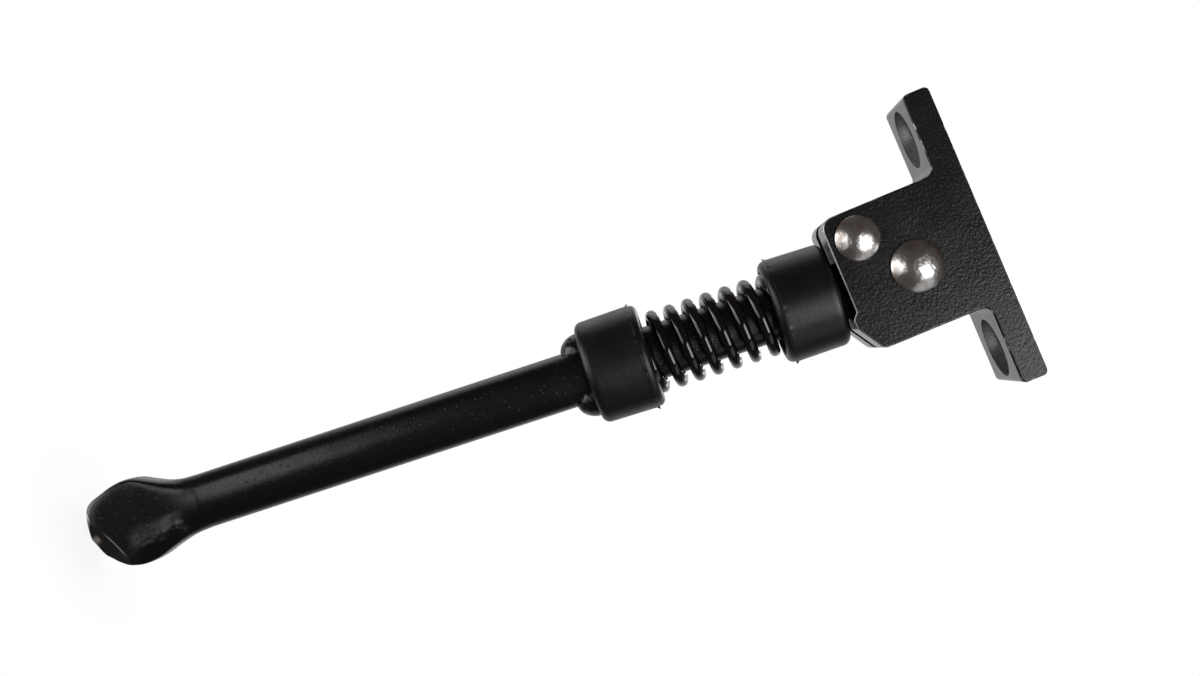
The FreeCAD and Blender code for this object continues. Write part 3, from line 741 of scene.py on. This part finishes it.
# Moulding flash at the cups' parting line, in mm, and two burrs at angles about the leg, in radians.
FLASH_STEP, FLASH_RUN, FLASH_CREST, FLASH_FOOT = 0.18, 0.06, 0.04, 0.02
FLASH_WIDTH, FLASH_RISE, FLASH_SIZE, FLASH_MOST = 0.10, 0.10, 2.0, 1.5
BURR_RISE, BURR_WIDTH, BURR_TURNS = 0.7, 0.025, (3.05, 6.20)


def make_cup(node, body, flip, seed):
    """Spring cup: a closed outline with rounded corners turned about the leg.

    Where the lip's round meets the outside, the mould's parting line leaves an uneven flash and two
    burrs, which swell the radius along that line.
    """
    near, far, radius = leg_span(node)
    length = far - near
    parting = length - LIP_LENGTH
    outline = divide(rounded([
        (CUP_BORE_R, 0.0, CORNER_ROUND),
        (radius - CUP_DRAFT, 0.0, CUP_ROUND),
        (radius, parting, FLASH_CREST),
        (radius - FLASH_STEP, parting + FLASH_RUN, FLASH_FOOT),
        (radius - FLASH_STEP, length, LIP_ROUND),
        (CUP_RECESS_R, length, RECESS_MOUTH_ROUND),
        (CUP_RECESS_R, CUP_FLOOR, CORNER_ROUND),
        (CUP_BORE_R, CUP_FLOOR, CORNER_ROUND),
    ]), CUP_STEP)
    turn = full_turn(CUP_COLUMNS)
    ring, along = outline[:, :1], outline[:, 1:]
    across, depth = ring * np.cos(turn), ring * np.sin(turn)
    line = bell(np.hypot(ring - radius, along - parting), FLASH_WIDTH)
    burrs = sum(bell(turn - spot, BURR_WIDTH) for spot in BURR_TURNS)
    uneven = np.clip(ripple(across, depth, along, FLASH_SIZE, seed), 0, FLASH_MOST)
    swell = 1 + line * (FLASH_RISE * uneven + BURR_RISE * burrs) / radius
    reach = far - along if flip else near + along
    grid = on_leg(reach + 0 * turn, across * swell, depth * swell)
    dress(skin(node + "_dressed", grid, loop=True), body, NYLON, node)


# Spring, in mm: wire, pitch of the open coils and the reach at which a crest lies.
WIRE, COIL_PITCH, COIL_CREST = 2.8, 4.97, 50.1
COIL_ROWS, WIRE_COLUMNS = 1400, 28

# Lower coils drawn up: how far, the reach where that starts and is full, and its fade before the end.
COIL_DRAW, DRAW_START, DRAW_FULL, DRAW_FADE, DRAW_END = 0.65, 50.0, 68.0, 8.0, 2.0

# Turns from either end up to which the coil is closed, and from which it is open.
CLOSED_TURNS, OPEN_TURNS = 0.75, 1.25


def make_spring():
    """Coil: a round section carried along a right-hand helix whose pitch closes to the wire at both
    ends. The coil stands on the floors of both cups."""
    near, far = leg_span("upper_cup")[0] + CUP_FLOOR, leg_span("lower_cup")[1] - CUP_FLOOR
    mean_r = leg_span("spring")[2] - WIRE / 2
    span = far - near - WIRE
    turns = (span - 2 * WIRE) / COIL_PITCH + 2
    count = np.linspace(0.0, turns, COIL_ROWS)
    from_end = np.minimum(count, turns - count)
    pitch = WIRE + (COIL_PITCH - WIRE) * smooth(CLOSED_TURNS, OPEN_TURNS, from_end)
    rise = np.concatenate([[0.0], np.cumsum((pitch[1:] + pitch[:-1]) / 2 * np.diff(count))])
    reach = near + WIRE / 2 + rise * span / rise[-1]
    angle = 2 * math.pi * (count - np.interp(COIL_CREST, reach, count))
    drawn = smooth(DRAW_START, DRAW_FULL, reach) * smooth(far - DRAW_END, far - DRAW_FADE, reach)
    reach = reach - COIL_DRAW * drawn
    outward = np.stack([0 * angle, -np.cos(angle), np.sin(angle)], -1)
    line = mean_r * outward
    line[:, 0] = reach
    ahead = np.gradient(line, axis=0)
    ahead /= np.linalg.norm(ahead, axis=1)[:, None]
    aside = np.cross(ahead, outward)
    turn = full_turn(WIRE_COLUMNS)[:, None]
    grid = line[:, None] + WIRE / 2 * (np.cos(turn) * outward[:, None] + np.sin(turn) * aside[:, None])
    piece = skin("spring_dressed", on_leg(grid[..., 0], grid[..., 1], grid[..., 2]))
    dress(piece, "leg", WIRE_PAINT, "spring")
    on_leg(far, 0.0, 0.0).tolist()
    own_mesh(piece)


finish_bracket()
make_rivet("pivot_rivet", seed=3)
make_rivet("stop_rivet", seed=11)
leg_tip = leg_span("leg")[1]
make_bar(leg_tip)
make_tongue()
cup_face = leg_span("lower_cup")[1]
make_lug("leg_lug_back", -1, cup_face)
make_lug("leg_lug_front", 1, cup_face)
make_cup("upper_cup", "upper_cup", flip=False, seed=31)
make_cup("lower_cup", "leg", flip=True, seed=37)
make_spring()


# Stage

# Floor, in metres, and how clear it is at the foot, from where it fades to fully clear.
FLOOR_GAP = 0.05 * MM
FLOOR_R, FLOOR_SIDES = 0.30, 96
SHADOW_NEAR, SHADOW_FAR = 0.0, 0.035
FLOOR_CLEAR = 0.88

# Backdrop that gloss sees: Y of a direction where it starts and is full, and its share there.
BACKDROP_START, BACKDROP_FULL, BACKDROP_SHARE = 0.35, 0.9, 0.7

# Strength of the room's light.
ROOM_LIGHT = 0.07

# Middle of the part, which most lamps face.
MIDDLE = tuple((low + high) / 2 for low, high in zip(*cad_box))

# Soft boxes: name, place, point faced, width and height in metres, power in watts.
LAMPS = [
    ("key", (0.42, -0.80, 0.38), MIDDLE, 0.75, 0.68, 6.4),
    ("back", (0.0, 0.8, 0.75), MIDDLE, 0.9, 0.9, 12.0),
    ("strip", (-0.118, -0.225, -0.262), MIDDLE, 0.25, 0.06, 0.115),
    ("low", (-0.285, -0.34, -0.69), MIDDLE, 0.6, 0.36, 0.9),
    ("under", (-0.36, 0.0, -0.86), MIDDLE, 0.5, 0.5, 2.2),
    ("side", (0.19, -0.065, 0.0), PIVOT, 0.1, 0.2, 0.03),
    ("rim", (-0.55, 0.30, -0.02), MIDDLE, 0.4, 0.5, 0.5),
]


def make_floor():
    """Pale floor at the foot's level: a disc that keeps the shadow near the foot and melts into white.

    One ring of points about the foot's tip, filled by one face, which clears with the distance from it.
    """
    foot = on_leg(leg_tip, 0.0, 0.0)
    level = cad_box[0][2] - FLOOR_GAP
    turn = full_turn(FLOOR_SIDES)
    x, y = foot[0] + FLOOR_R * np.cos(turn), foot[1] + FLOOR_R * np.sin(turn)
    ring = np.stack([x, y, np.full(FLOOR_SIDES, level)], -1)
    mesh = bpy.data.meshes.new("floor")
    mesh.from_pydata(ring.tolist(), [], [tuple(range(FLOOR_SIDES))])
    floor = bpy.data.objects.new("floor", mesh)
    bpy.context.scene.collection.objects.link(floor)

    material, tree, place = new_material("pale_painted_board")
    away = add(tree, "ShaderNodeVectorMath", {
        0: place, 1: (foot[0], foot[1], level)}, operation="DISTANCE")
    fade = add(tree, "ShaderNodeMapRange", {
        "Value": away.outputs["Value"], "From Min": SHADOW_NEAR, "From Max": SHADOW_FAR,
        "To Min": FLOOR_CLEAR}, interpolation_type="SMOOTHSTEP")
    board = add(tree, "ShaderNodeBsdfDiffuse", {"Color": srgb("#fafafa")})
    clear = add(tree, "ShaderNodeBsdfTransparent", {"Color": srgb("#ffffff")})
    mix = add(tree, "ShaderNodeMixShader", {
        0: fade.outputs["Result"], 1: board.outputs[0], 2: clear.outputs[0]})
    add(tree, "ShaderNodeOutputMaterial", {"Surface": mix.outputs[0]})
    mesh.materials.append(material)


def make_world():
    """White backdrop for the camera, which gloss and glass see behind the part, in a dim warm room."""
    world = bpy.data.worlds.new("studio")
    world.use_nodes = True
    tree = world.node_tree
    tree.nodes.clear()
    path = add(tree, "ShaderNodeLightPath")
    heading = add(tree, "ShaderNodeTexCoord").outputs["Generated"]
    parts = add(tree, "ShaderNodeSeparateXYZ", {"Vector": heading})
    behind = add(tree, "ShaderNodeMapRange", {
        "Value": parts.outputs["Y"], "From Min": BACKDROP_START, "From Max": BACKDROP_FULL,
        "To Max": BACKDROP_SHARE}, interpolation_type="SMOOTHSTEP")
    gloss = add(tree, "ShaderNodeMath", {
        0: path.outputs["Is Glossy Ray"], 1: path.outputs["Is Transmission Ray"]}, use_clamp=True)
    mirrored = add(tree, "ShaderNodeMath", {
        0: gloss.outputs[0], 1: behind.outputs["Result"]}, operation="MULTIPLY")
    share = add(tree, "ShaderNodeMath", {
        0: path.outputs["Is Camera Ray"], 1: mirrored.outputs[0]}, use_clamp=True)
    room = add(tree, "ShaderNodeBackground", {"Color": srgb("#ffe9df"), "Strength": ROOM_LIGHT})
    white = add(tree, "ShaderNodeBackground", {"Color": srgb("#ffffff"), "Strength": 1.0})
    mix = add(tree, "ShaderNodeMixShader", {
        0: share.outputs[0], 1: room.outputs[0], 2: white.outputs[0]})
    add(tree, "ShaderNodeOutputWorld", {"Surface": mix.outputs[0]})
    bpy.context.scene.world = world


def make_light(name, place, aim, width, height, power):
    """Soft box: an area lamp turned to a point."""
    lamp = bpy.data.lights.new(name, "AREA")
    lamp.shape = "RECTANGLE"
    lamp.size = width
    lamp.size_y = height
    lamp.energy = power
    light = bpy.data.objects.new(name, lamp)
    light.location = place
    light.rotation_euler = (Vector(aim) - Vector(place)).to_track_quat("-Z", "Y").to_euler()
    bpy.context.scene.collection.objects.link(light)


def make_camera():
    """Camera at the photograph's place, rolled as it was held."""
    data = bpy.data.cameras.new("camera")
    data.lens = CAMERA_LENS
    data.clip_start = CAMERA_NEAREST
    camera = bpy.data.objects.new("camera", data)
    camera.location = CAMERA_PLACE
    look = (Vector(CAMERA_AIM) - Vector(CAMERA_PLACE)).to_track_quat("-Z", "Y")
    camera.rotation_mode = "QUATERNION"
    camera.rotation_quaternion = look @ Quaternion((0, 0, 1), math.radians(CAMERA_ROLL))
    bpy.context.scene.collection.objects.link(camera)
    bpy.context.scene.camera = camera


make_floor()
make_world()
for lamp in LAMPS:
    make_light(*lamp)
make_camera()
bpy.context.scene.view_settings.view_transform = "Standard"
